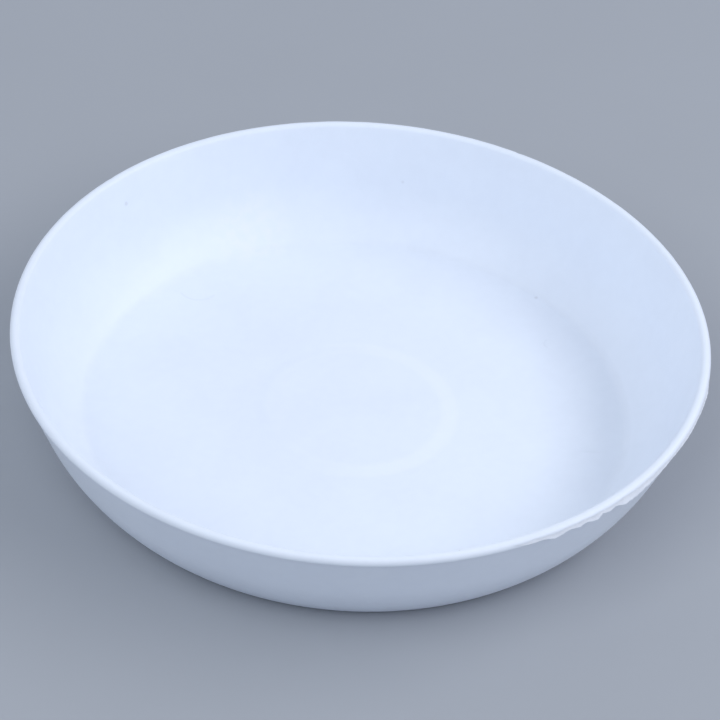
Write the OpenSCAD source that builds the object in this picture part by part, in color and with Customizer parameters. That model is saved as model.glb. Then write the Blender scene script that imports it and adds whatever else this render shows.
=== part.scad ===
// Shallow round evaporating dish, moulded in one piece from white PTFE, with
// the ragged sliver of moulding flash still on its rim. Millimetres, +Z up.
// The origin is the centre of the flat face that the dish stands on.

/* [Dish] */
// Outside diameter, over the rim
rim_d = 150; // [130:1:170]
// Height, from the standing face to the top of the rim
dish_h = 26.5; // [24:0.5:29]
// Thickness of the wall
wall_t = 2.1; // [1.7:0.05:2.7]
// Thickness of the floor
floor_t = 2.7; // [2:0.1:5]

/* [Wall] */
// Lean of the upper wall away from upright, in degrees
wall_lean = 20.8; // [16:0.2:26]
// Length of the straight stretch of wall below the rim
wall_straight = 12.4; // [9:0.2:16]
// Radius outside, of the curve between the straight stretch and the base
curve_r = 37; // [34:0.5:44]
// Radius inside, of the curve between the straight stretch and the floor. It is
// the smaller one, because the wall thickens downwards to meet the floor.
inner_curve_r = 25; // [20:0.5:32]

/* [Edges] */
// How far the rounded rim stands proud of the wall's outer face
rim_proud = 0.2; // [0:0.05:0.5]
// Radius inside, where the floor turns up into the wall
floor_corner_r = 4; // [1:0.5:8]
// Radius outside, where the standing face turns up into the wall
base_corner_r = 2; // [0.5:0.5:5]

/* [Centre pad] */
// Diameter of the slightly raised middle of the floor, over its sloping edge
pad_d = 45; // [30:1:60]
// Width of that sloping edge
pad_edge = 3.5; // [1:0.5:8]
// Height of the pad over the rest of the floor
pad_rise = 0.3; // [0.05:0.05:0.5]

/* [Flash] */
// Thickness of the flash where it grows out of the rim
flash_t = 0.4; // [0.2:0.05:0.5]
// Droop of the flash below level, in degrees
flash_droop = 60; // [50:5:65]
// Reach of the flash, as a share of its full reach
flash_share = 1; // [0.5:0.1:1.5]

/* [Hidden] */
$fn = 180;

// A section is drawn in [distance from the axis, height]. These are the unit
// steps up along the straight wall and square to it, away from the axis.
wall_up = [sin(wall_lean), cos(wall_lean)];
wall_out = [cos(wall_lean), -sin(wall_lean)];

// The rim is a bead as thick as the wall and the overhang together, so that
// its inner side runs straight on from the wall's inner face.
rim_r = (wall_t + rim_proud) / 2;
rim_centre = [rim_d / 2 - rim_r, dish_h - rim_r];

// Outer face: it leaves the bead, runs straight to the foot and curves from there.
wall_top = rim_centre + (rim_r - rim_proud) * wall_out;
wall_foot = wall_top - wall_straight * wall_up;

// The flash grows out of the bead's upper outer side, this far round from level.
flash_root = 20;
root_span = flash_t / rim_r * 180 / PI;
// Thickness at its torn edge, and its reach at either end and between its tongues
flash_edge_t = 0.1;
flash_end_reach = 0.25;
flash_least = 0.35;
// Degrees over which it runs out at either end
flash_run_out = 4;
// Each torn tongue: [first degree, degree of its tip, last degree, reach]
tongues = [[-64, -61.5, -57.5, 0.35], [-58.5, -56, -52, 0.65], [-53.5, -51, -49, 0.5],
           [-50.8, -47.5, -46, 0.75], [-47, -45, -42.8, 0.45], [-43.8, -41.5, -28, 1.05],
           [-30, -21, -16, 0.22], [-19, -12, -6, 0.3]];
flash_from = tongues[0][0];
flash_to = tongues[len(tongues) - 1][2];
flash_step = 0.5;

// The slice of a disc beyond the chord between two points on its edge
module slice(from, to, centre, r) {
  out = (from + to) / 2 - centre;
  intersection() {
    translate(centre) circle(r);
    polygon([from, to, to + out, from + out]);
  }
}

// Half-section of a filled bowl. Its straight face lies this far inside the wall's outer
// face and curves by r to the bottom at floor_z. Its top edge, square to the wall, lies
// above wall_top.
module bowl_section(inset, r, floor_z, corner_r, above) {
  foot = wall_foot - inset * wall_out;
  top = wall_top - inset * wall_out + above * wall_up;
  curve_centre = foot - r * wall_out;
  // The corner's arc touches the bottom and the wall's curve from within.
  corner_z = floor_z + corner_r;
  reach = r - corner_r;
  drop = curve_centre[1] - corner_z;
  corner_centre = [curve_centre[0] + sqrt(reach * reach - drop * drop), corner_z];
  corner_end = curve_centre + (corner_centre - curve_centre) * r / reach;
  corner_start = [corner_centre[0], floor_z];
  axis_top = [0, top[1] + top[0] * tan(wall_lean)];
  polygon([[0, floor_z], corner_start, corner_end, foot, top, axis_top]);
  slice(corner_start, corner_end, corner_centre, corner_r);
  slice(corner_end, foot, curve_centre, r);
}

// Half-section of the raised middle of the floor
module pad_section() {
  pad_r = pad_d / 2;
  polygon([[0, floor_t / 2], [pad_r, floor_t / 2], [pad_r, floor_t],
           [pad_r - pad_edge, floor_t + pad_rise], [0, floor_t + pad_rise]]);
}

// Flat floor, curved and then straight wall, rounded rim and faintly raised middle
module dish() {
  color([0.93, 0.95, 0.98])
    rotate_extrude() {
      difference() {
        bowl_section(0, curve_r, 0, base_corner_r, 0);
        bowl_section(wall_t, inner_curve_r, floor_t, floor_corner_r, rim_r);
      }
      translate(rim_centre) circle(rim_r);
      pad_section();
    }
}

// Reach of one tongue at degree a: a straight rise to its tip and a straight fall
function tongue_reach(t, a) = t[3] * max(0, min((a - t[0]) / (t[1] - t[0]), (t[2] - a) / (t[2] - t[1])));
// Reach of the flash at degree a, without its tongues
function plain_reach(a) = flash_end_reach + (flash_least - flash_end_reach)
  * min(1, (a - flash_from) / flash_run_out, (flash_to - a) / flash_run_out);
// Reach of the flash at degree a
function flash_reach(a) = plain_reach(a) + flash_share * max([for (t = tongues) tongue_reach(t, a)]);

// The flash's section at degree a: four points on the bead and two at the torn edge
function flash_section(a) =
  let (root = [for (k = [-1 : 2 / 3 : 1]) flash_root - k * root_span / 2],
       along = [cos(flash_droop), -sin(flash_droop)],
       across = [sin(flash_droop), cos(flash_droop)] * flash_edge_t / 2,
       edge = rim_centre + rim_r * [cos(flash_root), sin(flash_root)] + flash_reach(a) * along)
  concat([for (b = root) rim_centre + rim_r * [cos(b), sin(b)]], [edge - across, edge + across]);

// A section's point p carried round the axis to degree a
function carried(p, a) = [p[0] * cos(a), p[0] * sin(a), p[1]];

// Thin ragged strip of flash along part of the rim
module rim_flash() {
  degrees = [flash_from : flash_step : flash_to];
  points = [for (a = degrees) for (p = flash_section(a)) carried(p, a)];
  side = 6;
  last = len(points) - side;
  bands = [for (i = [0 : side : last - side]) for (k = [0 : side - 1])
             [i + k, i + (k + 1) % side, i + side + (k + 1) % side, i + side + k]];
  first_end = [for (k = [side - 1 : -1 : 0]) k];
  last_end = [for (k = [0 : side - 1]) last + k];
  color([0.96, 0.97, 0.99])
    polyhedron(points, concat(bands, [first_end], [last_end]));
}

dish();
rim_flash();
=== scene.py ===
import math

import bpy
import numpy as np
from mathutils import Matrix, Vector, noise


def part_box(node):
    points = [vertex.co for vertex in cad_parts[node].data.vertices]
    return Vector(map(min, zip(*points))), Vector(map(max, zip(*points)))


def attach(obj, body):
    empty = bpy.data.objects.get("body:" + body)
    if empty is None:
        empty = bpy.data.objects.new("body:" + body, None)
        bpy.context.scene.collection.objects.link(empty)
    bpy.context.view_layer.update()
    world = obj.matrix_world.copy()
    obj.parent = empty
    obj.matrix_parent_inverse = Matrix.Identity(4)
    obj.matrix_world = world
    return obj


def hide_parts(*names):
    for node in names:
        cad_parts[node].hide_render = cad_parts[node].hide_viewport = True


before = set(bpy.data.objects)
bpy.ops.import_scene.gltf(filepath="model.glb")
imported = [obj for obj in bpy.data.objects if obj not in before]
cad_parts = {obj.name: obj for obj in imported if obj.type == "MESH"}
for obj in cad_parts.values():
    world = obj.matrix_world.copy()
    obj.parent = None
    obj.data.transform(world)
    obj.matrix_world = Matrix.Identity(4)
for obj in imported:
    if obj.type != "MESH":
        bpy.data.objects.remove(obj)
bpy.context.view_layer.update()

MM = 0.001
DISH_LOW, DISH_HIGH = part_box("dish")

# The dish's driving sizes, in mm, as the CAD has them. A section is drawn in
# [distance from the axis, height].
RIM_RADIUS = max(DISH_HIGH.x, DISH_HIGH.y, -DISH_LOW.x, -DISH_LOW.y) / MM
HEIGHT = DISH_HIGH.z / MM
WALL = 2.1
FLOOR = 2.7
LEAN = math.radians(20.8)
STRAIGHT = 12.4
CURVE_R = 37.0
INNER_CURVE_R = 25.0
RIM_PROUD = 0.2
FLOOR_CORNER_R = 4.0
BASE_CORNER_R = 2.0
PAD_R = 22.5
PAD_EDGE = 3.5
PAD_RISE = 0.3

WALL_UP = np.array([math.sin(LEAN), math.cos(LEAN)])
WALL_OUT = np.array([math.cos(LEAN), -math.sin(LEAN)])
RIM_R = (WALL + RIM_PROUD) / 2
RIM_CENTRE = np.array([RIM_RADIUS - RIM_R, HEIGHT - RIM_R])
WALL_TOP = RIM_CENTRE + (RIM_R - RIM_PROUD) * WALL_OUT
WALL_FOOT = WALL_TOP - STRAIGHT * WALL_UP
CURVE_CENTRE = WALL_FOOT - CURVE_R * WALL_OUT
INNER_FOOT = WALL_FOOT - WALL * WALL_OUT
INNER_CENTRE = INNER_FOOT - INNER_CURVE_R * WALL_OUT

AROUND = 360            # quads round the dish

# Slow departures of the wall from a true circle, and of the rim from level:
# [waves round, size in mm, degree of a crest]
OUT_OF_ROUND = [[2, 0.23, -3], [3, 0.33, -8.5]]
RIM_WAVE = [[1, 0.2, 81], [2, 0.13, 34], [5, 0.04, 10]]

# Torn tongues of flash: [first degree, degree of its tip, last degree, reach in mm]
TONGUES = [[-64, -61.5, -57.5, 0.35], [-58.5, -56, -52, 0.65], [-53.5, -51, -49, 0.5],
           [-50.8, -47.5, -46, 0.75], [-47, -45, -42.8, 0.45], [-43.8, -41.5, -28, 1.05],
           [-30, -21, -16, 0.22], [-19, -12, -6, 0.3]]
FLASH_DROOP = math.radians(60)
FLASH_SPAN = math.radians(22)   # the part of the bead that it grows out of
FLASH_STEP = 0.1        # degrees between its sections
FLASH_LEAST = 0.55      # its reach between the tongues, from where it leaves the bead
FLASH_EMBED = 0.02      # how deep its root lies inside the bead, so that no gap shows
FLASH_RUN_OUT = 4       # degrees over which it fades out at either end
FLASH_COARSE = 0.25     # unevenness of its tongues, as a share of their reach
FLASH_FINE = 0.13       # raggedness of its torn edge, in mm

# Knocks in the rim: [degree, width in degrees, depth in mm]
NICKS = [[201.5, 1.1, 0.22], [141.0, 0.8, 0.08], [63.0, 1.0, 0.07], [262.0, 0.9, 0.06],
         [318.0, 0.7, 0.07]]

# Colours of the plastic, its torn edge (lightened as painted light), the painted highlight on the
# pad's edge, the painted warm reflection and the specks, and of the stage
PTFE_RGB = (0.83, 0.885, 0.98)
# the torn edge's colour is lighter than the plastic's: painted light that makes up for the shade it
# gets from facing the floor
FLASH_LIGHTENED_RGB = (0.87, 0.915, 1.0)
PAD_HIGHLIGHT_RGB = (0.87, 0.915, 0.99)
WARM_REFLECTION_RGB = (0.87, 0.885, 0.97)
SPECK_RGB = (0.42, 0.42, 0.45)
STAGE_RGB = (0.38, 0.40, 0.43)
PAD_HIGHLIGHT_WIDTH = (2.6, 1.2)     # half-widths in mm where the painted highlight ring starts and is full

# Specks in the plastic: [place, reach], in mm
SPECKS = [[(7.7, 68.4, 14.6), 0.7], [(27.2, 60.1, 8.7), 0.6], [(39.6, 43.3, FLOOR), 0.6],
          [(-61.9, -14.2, 5.1), 0.6], [(-54.6, 45.4, 20.5), 0.7]]
# A faintly warmer painted reflection of a lamp on the wall: place and reach, in mm
WARM_REFLECTION_PATCH = [(-26.7, 57.9, 5.5), 12]
# Thin arcs pressed into the floor, in mm and degrees: [centre, radius, middle, span, width]
ARC_MARKS = [[(-37.3, 38.8, FLOOR), 4.2, -90, 140, 0.45], [(43.0, 26.9, FLOOR), 1.6, 180, 130, 0.4]]
# Straight scratches, in mm and degrees: [middle, direction, length, width]
SCRATCHES = [[(51.7, -9.4, FLOOR), 5, 6.5, 0.3]]


# --- Shape -------------------------------------------------------------------------------------

def arc(centre, radius, start, end, steps):
    """Points along an arc, first one left out. Angles are in radians, up from straight outwards."""
    turns = np.linspace(start, end, steps + 1)[1:]
    return [centre + radius * np.array([math.cos(t), math.sin(t)]) for t in turns]


def line(start, end, steps):
    """Points along a straight line, first one left out."""
    return [start + (end - start) * k / steps for k in range(1, steps + 1)]


def corner_of(curve_centre, curve_r, level, corner_r):
    """The centre of the corner between a level bottom and a wall's curve, and its angle there."""
    reach = curve_r - corner_r
    drop = curve_centre[1] - level - corner_r
    centre = np.array([curve_centre[0] + math.sqrt(reach * reach - drop * drop), level + corner_r])
    return centre, -math.asin(drop / reach)


def dish_section():
    """The half-section from the axis underneath, over the rim, to the axis inside.

    Also the index of the point at the crease under the rim.
    """
    base_corner, base_angle = corner_of(CURVE_CENTRE, CURVE_R, 0, BASE_CORNER_R)
    floor_corner, floor_angle = corner_of(INNER_CENTRE, INNER_CURVE_R, FLOOR, FLOOR_CORNER_R)
    crease_drop = math.sqrt(RIM_R ** 2 - (RIM_R - RIM_PROUD) ** 2)
    crease = WALL_TOP - crease_drop * WALL_UP
    crease_angle = math.atan2(*(crease - RIM_CENTRE)[::-1])

    points = [np.array([0.0, 0.0])]
    points += line(points[-1], np.array([base_corner[0], 0.0]), 8)
    points += arc(base_corner, BASE_CORNER_R, -math.pi / 2, base_angle, 6)
    points += arc(CURVE_CENTRE, CURVE_R, base_angle, -LEAN, 18)
    points += line(WALL_FOOT, crease, 12)
    crease_index = len(points) - 1
    points += arc(RIM_CENTRE, RIM_R, crease_angle, math.pi - LEAN, 26)
    points += line(points[-1], INNER_FOOT, 12)
    points += arc(INNER_CENTRE, INNER_CURVE_R, -LEAN, floor_angle, 20)
    points += arc(floor_corner, FLOOR_CORNER_R, floor_angle, -math.pi / 2, 10)
    points += line(points[-1], np.array([PAD_R, FLOOR]), 16)
    for k in range(1, 9):
        share = k / 8
        points.append(np.array([PAD_R - PAD_EDGE * share,
                                FLOOR + PAD_RISE * (1 - math.cos(math.pi * share)) / 2]))
    points += line(points[-1], np.array([0.0, FLOOR + PAD_RISE]), 8)
    return points, crease_index


def waves(rule, azimuth):
    """A sum of waves round the dish."""
    return sum(size * math.cos(count * (azimuth - math.radians(crest))) for count, size, crest in rule)


def nick_depth(azimuth):
    """How deep the rim is dented at this azimuth."""
    depth = 0.0
    for degree, width, deep in NICKS:
        off = (math.degrees(azimuth) - degree + 180) % 360 - 180
        depth += deep * math.exp(-(off / (width / 2)) ** 2)
    return depth


def lived_in(radius, height, azimuth):
    """Where a point of the true section goes on the real, slightly uneven moulding."""
    share = min(max((height - FLOOR) / (HEIGHT - FLOOR), 0), 1)
    rise = share * share * (3 - 2 * share) if radius > PAD_R * 2 else 0
    radius += rise * waves(OUT_OF_ROUND, azimuth)
    height += rise * waves(RIM_WAVE, azimuth)
    at = Vector((math.cos(azimuth), math.sin(azimuth), height / 20)) * 6
    near_rim = max(0, 1 - (HEIGHT - height) / (2.2 * RIM_R))
    trim = 0.03 * near_rim * noise.noise(at * 4)
    dent = nick_depth(azimuth) * max(0, 1 - (HEIGHT - height) / (1.4 * RIM_R))
    return radius + trim - dent * 0.6, height + trim - dent * 0.8


def placed(radius, height, azimuth):
    """A point in metres in the row frame."""
    return (radius * math.cos(azimuth) * MM, radius * math.sin(azimuth) * MM, height * MM)


def new_piece(name, vertices, faces, sharp=()):
    """A smooth-shaded mesh piece. sharp holds the vertex pairs of its sharp edges."""
    mesh = bpy.data.meshes.new(name)
    mesh.from_pydata(vertices, [], faces)
    mesh.validate()
    mesh.polygons.foreach_set("use_smooth", [True] * len(mesh.polygons))
    wanted = {frozenset(pair) for pair in sharp}
    if wanted:
        for edge in mesh.edges:
            edge.use_edge_sharp = frozenset(edge.vertices) in wanted
    mesh.update()
    piece = bpy.data.objects.new(name, mesh)
    bpy.context.scene.collection.objects.link(piece)
    return piece


def make_dish():
    """The dish as one closed, slightly uneven lathe form."""
    section, crease = dish_section()
    rings = section[1:-1]
    vertices = [(0.0, 0.0, section[0][1] * MM), (0.0, 0.0, section[-1][1] * MM)]
    for radius, height in rings:
        for k in range(AROUND):
            azimuth = 2 * math.pi * k / AROUND
            vertices.append(placed(*lived_in(radius, height, azimuth), azimuth))
    def at(ring, k):
        return 2 + ring * AROUND + k % AROUND
    last = len(rings) - 1
    faces = [(0, at(0, k + 1), at(0, k)) for k in range(AROUND)]
    for ring in range(last):
        faces += [(at(ring, k), at(ring, k + 1), at(ring + 1, k + 1), at(ring + 1, k))
                  for k in range(AROUND)]
    faces += [(1, at(last, k), at(last, k + 1)) for k in range(AROUND)]
    sharp = [(at(crease - 1, k), at(crease - 1, k + 1)) for k in range(AROUND)]
    return new_piece("dish_body", vertices, faces, sharp)


def tongue_reach(degree):
    """Reach of the torn tongues, in mm, before their edges are roughened."""
    return max(reach * max(0, min((degree - first) / (tip - first), (last - degree) / (last - tip)))
               for first, tip, last, reach in TONGUES)


def on_bead(angle, depth):
    """A point this far inside the bead's surface, at an angle up from level."""
    return RIM_CENTRE + (RIM_R - depth) * np.array([math.cos(angle), math.sin(angle)])


def flash_section(reach, droop):
    """The flash's section: it leaves the bead smoothly on top and thins out to its torn edge."""
    along = np.array([math.cos(droop), -math.sin(droop)])
    across = np.array([math.sin(droop), math.cos(droop)])
    root = on_bead(math.pi / 2 - droop, FLASH_EMBED)
    upper = [root + along * reach * share for share in (0, 0.45, 0.85, 1)]
    lower = [point - across * thick for point, thick in zip(upper[1:], (0.22, 0.13, 0.07))]
    return upper + lower[::-1] + [on_bead(math.pi / 2 - droop - FLASH_SPAN, 0.1)]


def make_flash():
    """The ragged, thin strip of flash, swept along the rim's outer side."""
    count = round((TONGUES[-1][2] - TONGUES[0][0]) / FLASH_STEP) + 1
    vertices, faces = [], []
    side = 8
    for k in range(count):
        degree = TONGUES[0][0] + k * FLASH_STEP
        azimuth = math.radians(degree)
        ends = min(1, min(k, count - 1 - k) * FLASH_STEP / FLASH_RUN_OUT)
        coarse = noise.noise(Vector((degree * 0.9, 3.1, 0)))
        fine = noise.noise(Vector((degree * 4.3, 7.7, 0)))
        tongue = tongue_reach(degree) * (1 + FLASH_COARSE * coarse)
        reach = ends * (FLASH_LEAST + tongue + FLASH_FINE * fine)
        droop = FLASH_DROOP + 0.15 * noise.noise(Vector((degree * 0.5, 0, 9.3)))
        section = flash_section(max(reach, 0.02), droop)
        for radius, height in section:
            uneven = lived_in(RIM_CENTRE[0] + RIM_R, RIM_CENTRE[1], azimuth)
            vertices.append(placed(radius + uneven[0] - RIM_CENTRE[0] - RIM_R,
                                   height + uneven[1] - RIM_CENTRE[1], azimuth))
    for k in range(count - 1):
        a, b = k * side, (k + 1) * side
        faces += [(a + s, a + (s + 1) % side, b + (s + 1) % side, b + s) for s in range(side)]
    faces.append(tuple(range(side - 1, -1, -1)))
    faces.append(tuple(range(len(vertices) - side, len(vertices))))
    sharp = [(k * side + s, (k + 1) * side + s) for k in range(count - 1) for s in (0, 3, 4, 7)]
    return new_piece("torn_flash", vertices, faces, sharp)


# --- Materials ---------------------------------------------------------------------------------

def add(tree, kind, feeds=(), **settings):
    """A new shader node. feeds gives its sockets a value or another node's output."""
    made = tree.nodes.new(kind)
    for name, value in settings.items():
        setattr(made, name, value)
    for socket, value in dict(feeds).items():
        if isinstance(value, bpy.types.NodeSocket):
            tree.links.new(value, made.inputs[socket])
        else:
            made.inputs[socket].default_value = value
    return made


def maths(tree, operation, *values):
    """One step of arithmetic."""
    return add(tree, "ShaderNodeMath", enumerate(values), operation=operation).outputs[0]


def scaled(tree, value, factor):
    """A value times a factor."""
    return maths(tree, "MULTIPLY", value, factor)


def total(tree, first, *others):
    """The sum of several values."""
    for other in others:
        first = maths(tree, "ADD", first, other)
    return first


def turn(tree, value, start, end, low=0.0, high=1.0):
    """low where value is at start, high where it is at end, and a smooth turn between."""
    feeds = {"Value": value, "From Min": start, "From Max": end, "To Min": low, "To Max": high}
    return add(tree, "ShaderNodeMapRange", feeds, interpolation_type="SMOOTHSTEP").outputs[0]


def cloud(tree, place, size, detail=2.0):
    """Soft noise between 0 and 1, with lumps about this many millimetres wide."""
    feeds = {"Vector": place, "Scale": 1 / (size * MM), "Detail": detail}
    return add(tree, "ShaderNodeTexNoise", feeds).outputs[0]


def stretched(tree, place, degree, across, along):
    """The place turned by some degrees and squeezed, so that noise in it runs in streaks."""
    feeds = {"Vector": place, "Rotation": (0, 0, math.radians(degree)),
             "Scale": (1 / along, 1 / across, 1)}
    return add(tree, "ShaderNodeMapping", feeds).outputs[0]


def metres(point):
    """A point given in millimetres."""
    return tuple(c * MM for c in point)


def distance_to(tree, place, point):
    """How far this place is from a point given in millimetres."""
    feeds = {0: place, 1: metres(point)}
    return add(tree, "ShaderNodeVectorMath", feeds, operation="DISTANCE").outputs["Value"]


def distance_along(tree, place, point, degree):
    """How far this place lies from a point in millimetres, counted along one level direction."""
    feeds = {0: place, 1: metres(point)}
    away = add(tree, "ShaderNodeVectorMath", feeds, operation="SUBTRACT").outputs[0]
    feeds = {0: away, 1: (math.cos(math.radians(degree)), math.sin(math.radians(degree)), 0)}
    return add(tree, "ShaderNodeVectorMath", feeds, operation="DOT_PRODUCT").outputs["Value"]


def spot(tree, place, point, reach):
    """1 at a point and 0 from its reach on, both in millimetres."""
    return turn(tree, distance_to(tree, place, point), reach * MM, 0.35 * reach * MM)


def off_circle(tree, place, centre, radius):
    """How far this place is from a circle, or rather from the sphere that it lies on."""
    off = maths(tree, "SUBTRACT", distance_to(tree, place, centre), radius * MM)
    return maths(tree, "ABSOLUTE", off)


def arc_mark(tree, place, centre, radius, degree, span, width):
    """1 along a thin arc of this span round its middle degree, and 0 away from it, in millimetres."""
    on_line = turn(tree, off_circle(tree, place, centre, radius), width * MM, 0)
    ends = radius * math.cos(math.radians(span / 2))
    within = turn(tree, distance_along(tree, place, centre, degree), ends * MM,
                  (ends + 0.25 * radius) * MM)
    return maths(tree, "MULTIPLY", on_line, within)


def scratch(tree, place, middle, degree, length, width):
    """1 along a straight scratch and 0 away from it, in millimetres."""
    across = maths(tree, "ABSOLUTE", distance_along(tree, place, middle, degree + 90))
    along = maths(tree, "ABSOLUTE", distance_along(tree, place, middle, degree))
    on_line = maths(tree, "MULTIPLY", turn(tree, across, width * MM, 0),
                    turn(tree, along, length / 2 * MM, 0))
    near = turn(tree, distance_to(tree, place, middle), length * MM, 0.9 * length * MM)
    return maths(tree, "MULTIPLY", on_line, near)


def most(tree, masks):
    """The strongest of several masks."""
    first = masks[0]
    for mask in masks[1:]:
        first = maths(tree, "MAXIMUM", first, mask)
    return first


def mixed(tree, share, first, second):
    """A colour between two, which are given as values or as outputs."""
    made = add(tree, "ShaderNodeMix", {0: share}, data_type="RGBA")
    for socket, colour in ((6, first), (7, second)):
        if isinstance(colour, bpy.types.NodeSocket):
            tree.links.new(colour, made.inputs[socket])
        else:
            made.inputs[socket].default_value = (*colour, 1)
    return made.outputs[2]


def shaded(rgb, factor):
    """A colour made darker or lighter."""
    return tuple(c * factor for c in rgb)


def bumped(tree, shader, height):
    """Gives the shader a relief, whose height is in millimetres."""
    bump = add(tree, "ShaderNodeBump", {"Height": height, "Distance": MM, "Strength": 1.0})
    tree.links.new(bump.outputs[0], shader.inputs["Normal"])


def base_material(name, rgb, roughness, ior):
    """A new material with one Principled shader, and the place in metres that its patterns use."""
    material = bpy.data.materials.new(name)
    material.use_nodes = True
    tree = material.node_tree
    shader = tree.nodes["Principled BSDF"]
    shader.inputs["Base Color"].default_value = (*rgb, 1)
    shader.inputs["Roughness"].default_value = roughness
    shader.inputs["IOR"].default_value = ior
    return material, tree, shader, add(tree, "ShaderNodeTexCoord").outputs["Object"]


def waxy(shader, weight):
    """Lets a little light into the plastic, the same at every wavelength."""
    shader.inputs["Subsurface Weight"].default_value = weight
    shader.inputs["Subsurface Radius"].default_value = (1.0, 1.0, 1.0)
    shader.inputs["Subsurface Scale"].default_value = 1.5 * MM


def pad_highlight(tree, place, up):
    """Painted highlight on the sloping edge of the centre pad, where it faces the main lamp: 1 there,
    fading away at the dish's left and underneath.
    """
    centre = (0, 0, FLOOR)
    band = turn(tree, off_circle(tree, place, centre, PAD_R - PAD_EDGE / 2),
                *metres(PAD_HIGHLIGHT_WIDTH))
    # only on the side that faces the main lamp at the right, where the painted highlight falls
    right = turn(tree, distance_along(tree, place, centre, 0), -17 * MM, 6 * MM)
    inside = turn(tree, up, 0.5 * FLOOR * MM, 0.9 * FLOOR * MM)
    return maths(tree, "MULTIPLY", maths(tree, "MULTIPLY", band, right), inside)


def random_specks(tree, place, spacing, share, size):
    """A few small dots, one in a share of the cells that are this many millimetres wide."""
    cells = add(tree, "ShaderNodeTexVoronoi", {"Vector": place, "Scale": 1 / (spacing * MM)})
    chosen = add(tree, "ShaderNodeSeparateColor", {0: cells.outputs["Color"]}).outputs[0]
    dots = turn(tree, cells.outputs["Distance"], size / spacing, 0.4 * size / spacing)
    return maths(tree, "MULTIPLY", dots, maths(tree, "LESS_THAN", chosen, share))


def ptfe(name):
    """Waxy white PTFE: cloudy, finely grained, with a few specks, marks and scuffs, a painted
    highlight on the pad's edge and a painted warm reflection on the wall.
    """
    material, tree, shader, place = base_material(name, PTFE_RGB, 0.33, 1.37)
    waxy(shader, 0.2)
    clouds = turn(tree, cloud(tree, place, 16, 4), 0.35, 0.65)
    mottle = turn(tree, cloud(tree, place, 2.6, 3), 0.3, 0.7)
    grain = cloud(tree, place, 0.8, 2)
    ripple = cloud(tree, place, 9, 1)
    up = add(tree, "ShaderNodeSeparateXYZ", {0: place}).outputs[2]
    standing = turn(tree, up, 0.35 * MM, 0.05 * MM)
    rubbed = turn(tree, cloud(tree, stretched(tree, place, 25, 0.25, 6), 0.9, 3), 0.56, 0.7)
    scuffs = maths(tree, "MULTIPLY", standing, rubbed)
    wiped = turn(tree, cloud(tree, stretched(tree, place, -35, 1, 7), 3, 2), 0.45, 0.75)
    dust = random_specks(tree, place, 11, 0.22, 0.28)
    spots = most(tree, [spot(tree, place, point, reach) for point, reach in SPECKS])
    marks = most(tree, [arc_mark(tree, place, *mark) for mark in ARC_MARKS]
                 + [scratch(tree, place, *line_mark) for line_mark in SCRATCHES])

    tone = mixed(tree, total(tree, scaled(tree, clouds, 0.6), scaled(tree, mottle, 0.4)),
                 shaded(PTFE_RGB, 0.975), PTFE_RGB)
    # paints a highlight on the pad's edge where it faces the main lamp
    tone = mixed(tree, scaled(tree, pad_highlight(tree, place, up), 0.35), tone, PAD_HIGHLIGHT_RGB)
    # paints a warm reflection of a lamp on the left-back wall, broken up by the mottle
    warm_reflection = scaled(tree, maths(tree, "MULTIPLY", spot(tree, place, *WARM_REFLECTION_PATCH), mottle), 0.4)
    tone = mixed(tree, warm_reflection, tone, WARM_REFLECTION_RGB)
    tone = mixed(tree, scaled(tree, maths(tree, "MAXIMUM", dust, spots), 0.25), tone, SPECK_RGB)
    worn = maths(tree, "MAXIMUM", marks, scuffs)
    tone = mixed(tree, scaled(tree, worn, 0.3), tone, shaded(PTFE_RGB, 0.86))
    tree.links.new(tone, shader.inputs["Base Color"])

    rough = total(tree, 0.38, scaled(tree, clouds, 0.05), scaled(tree, wiped, 0.05),
                  scaled(tree, scuffs, 0.25), scaled(tree, marks, 0.15))
    tree.links.new(rough, shader.inputs["Roughness"])
    bumped(tree, shader, total(tree, scaled(tree, grain, 0.014), scaled(tree, ripple, 0.05),
                               scaled(tree, mottle, 0.006), scaled(tree, worn, -0.03)))
    return material


def torn_ptfe(name):
    """The same plastic where it is thin and torn: rougher and more see-through, its colour lightened
    as painted light against the shade it gets from facing the floor.
    """
    material, tree, shader, place = base_material(name, FLASH_LIGHTENED_RGB, 0.45, 1.37)
    waxy(shader, 0.3)
    fibres = cloud(tree, place, 0.35, 3)
    tone = mixed(tree, turn(tree, fibres, 0.3, 0.7), shaded(FLASH_LIGHTENED_RGB, 0.96), FLASH_LIGHTENED_RGB)
    tree.links.new(tone, shader.inputs["Base Color"])
    tree.links.new(turn(tree, fibres, 0.3, 0.7, 0.38, 0.55), shader.inputs["Roughness"])
    bumped(tree, shader, scaled(tree, fibres, 0.04))
    return material


def stage_material():
    """A plain pale grey, very slightly uneven."""
    material, tree, shader, place = base_material("stage", STAGE_RGB, 0.75, 1.45)
    tone = mixed(tree, cloud(tree, place, 60, 3), shaded(STAGE_RGB, 0.97), shaded(STAGE_RGB, 1.03))
    tree.links.new(tone, shader.inputs["Base Color"])
    return material


# --- Stage -------------------------------------------------------------------------------------

def make_floor():
    """A wide pale floor just under the dish."""
    half = 3.0
    below = DISH_LOW.z - 0.02 * MM
    corners = [(x * half, y * half, below) for x, y in ((-1, -1), (1, -1), (1, 1), (-1, 1))]
    floor = new_piece("floor", corners, [(0, 1, 2, 3)])
    floor.data.materials.append(stage_material())


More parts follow.
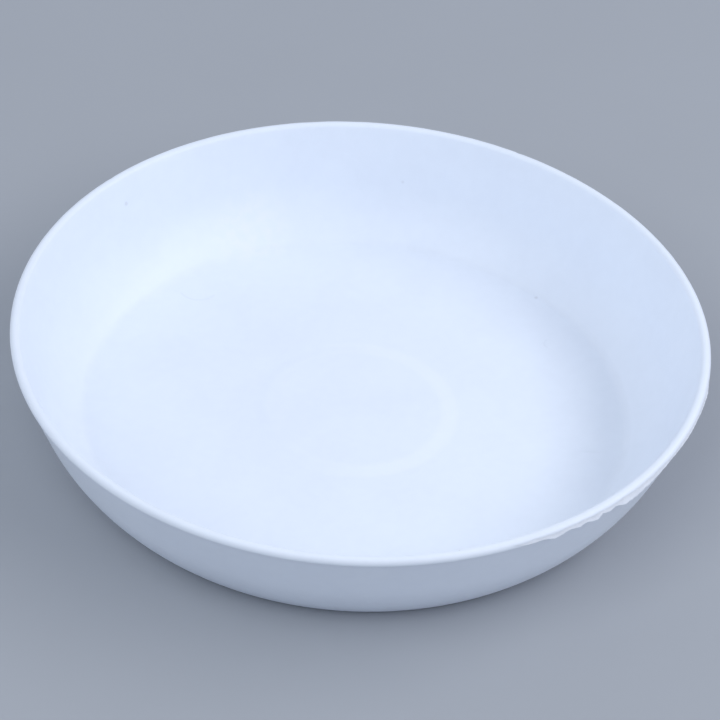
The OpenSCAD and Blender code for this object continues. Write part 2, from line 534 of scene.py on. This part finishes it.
def softbox(name, azimuth, elevation, distance, width, height, watts, rgb):
    """An area lamp aimed at the dish. Angles are in degrees and lengths in metres."""
    lamp = bpy.data.lights.new(name, "AREA")
    lamp.shape = "RECTANGLE"
    lamp.size = width
    lamp.size_y = height
    lamp.energy = watts
    lamp.color = rgb
    made = bpy.data.objects.new(name, lamp)
    a, e = math.radians(azimuth), math.radians(elevation)
    towards = Vector((math.cos(a) * math.cos(e), math.sin(a) * math.cos(e), math.sin(e)))
    made.location = towards * distance
    made.rotation_mode = "QUATERNION"
    made.rotation_quaternion = towards.to_track_quat("Z", "Y")
    bpy.context.scene.collection.objects.link(made)


def make_light():
    """Plain soft studio light: the main lamp from the right, two fills and an even surround."""
    softbox("key", 0, 42, 1.1, 1.5, 0.3, 5.9, (0.965, 0.965, 1))
    softbox("left", -128, 54, 1.3, 0.9, 0.9, 4.6, (0.94, 0.975, 1))
    softbox("low", 165, 18, 1.3, 1.0, 0.6, 1.7, (0.92, 0.965, 1))
    world = bpy.data.worlds.new("studio")
    bpy.context.scene.world = world
    world.use_nodes = True
    world.node_tree.nodes["Background"].inputs["Color"].default_value = (0.77, 0.845, 1, 1)
    world.node_tree.nodes["Background"].inputs["Strength"].default_value = 0.59


def make_camera():
    """A long lens that looks down at the dish from the front."""
    lens = bpy.data.cameras.new("camera")
    lens.sensor_width = 36
    lens.lens = 180
    made = bpy.data.objects.new("camera", lens)
    down, roll = math.radians(39.43), math.radians(3.67)
    back = Vector((0, -math.cos(down), math.sin(down)))
    aim = Vector((0.4, -12, HEIGHT)) * MM
    made.location = aim + back * 764 * MM
    made.rotation_mode = "QUATERNION"
    rolled = Matrix.Rotation(roll, 4, "Z").to_quaternion()
    made.rotation_quaternion = back.to_track_quat("Z", "Y") @ rolled
    bpy.context.scene.collection.objects.link(made)
    bpy.context.scene.camera = made


def main():
    """Builds the dish and its stage."""
    bpy.context.scene.view_settings.view_transform = "Standard"
    dish = make_dish()
    dish.data.materials.append(ptfe("ptfe"))
    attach(dish, "root")
    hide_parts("dish")
    flash = make_flash()
    flash.data.materials.append(torn_ptfe("ptfe_flash"))
    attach(flash, "root")
    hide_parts("rim_flash")
    make_floor()
    make_light()
    make_camera()


main()
